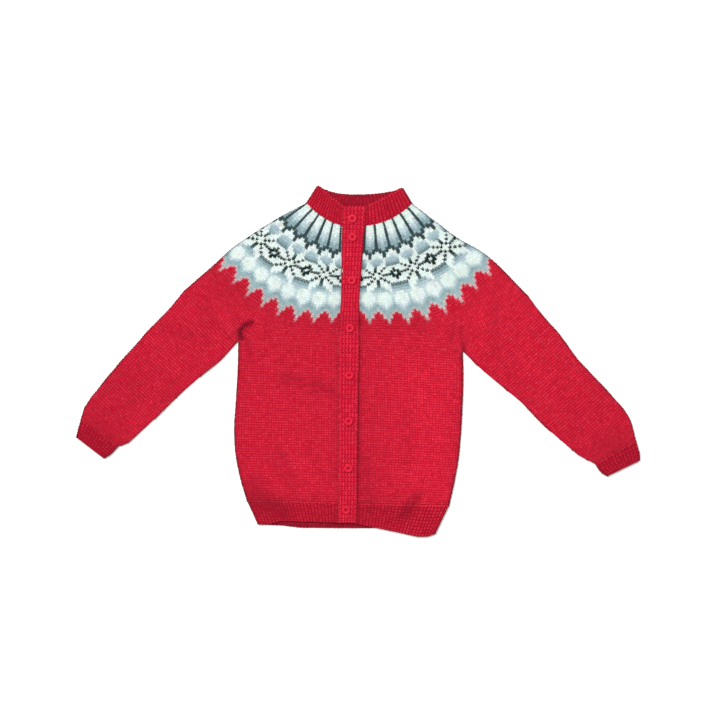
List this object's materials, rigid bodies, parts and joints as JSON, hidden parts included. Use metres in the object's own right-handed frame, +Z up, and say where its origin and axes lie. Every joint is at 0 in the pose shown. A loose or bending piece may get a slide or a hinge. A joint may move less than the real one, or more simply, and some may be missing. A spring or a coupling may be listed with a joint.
{
  "type": "cardigan",
  "caption": "Child's hand-knitted wool cardigan with a round patterned yoke, buttoned down the front and laid flat with its sleeves spread.",
  "frame": {"origin": "centre of the bounding box at the surface the cardigan lies on", "axes": "+X from the sleeve at the left of the front, as seen from above, to the sleeve at the right; +Y from hem to collar; +Z up, out of the front"},
  "size_m": [0.9494, 0.5915, 0.0148],
  "materials": {
    "wool_red": "hand-knitted wool, matt with a soft nap",
    "wool_yoke": "hand-knitted wool in red, greys, white and charcoal, matt with a soft nap",
    "button_plastic": "moulded red plastic, softly glossy"
  },
  "bodies": {
    "root": {"body": "wool_red", "hem_rib": "wool_red", "sleeve_left": "wool_red", "sleeve_right": "wool_red", "cuff_left": "wool_red", "cuff_right": "wool_red", "yoke": "wool_yoke", "neckband": "wool_red", "button_band": "wool_red", "buttonhole_band": "wool_red", "button_1": "button_plastic", "button_2": "button_plastic", "button_3": "button_plastic", "button_4": "button_plastic", "button_5": "button_plastic", "button_6": "button_plastic", "button_7": "button_plastic", "button_8": "button_plastic"}
  },
  "joints": []
}
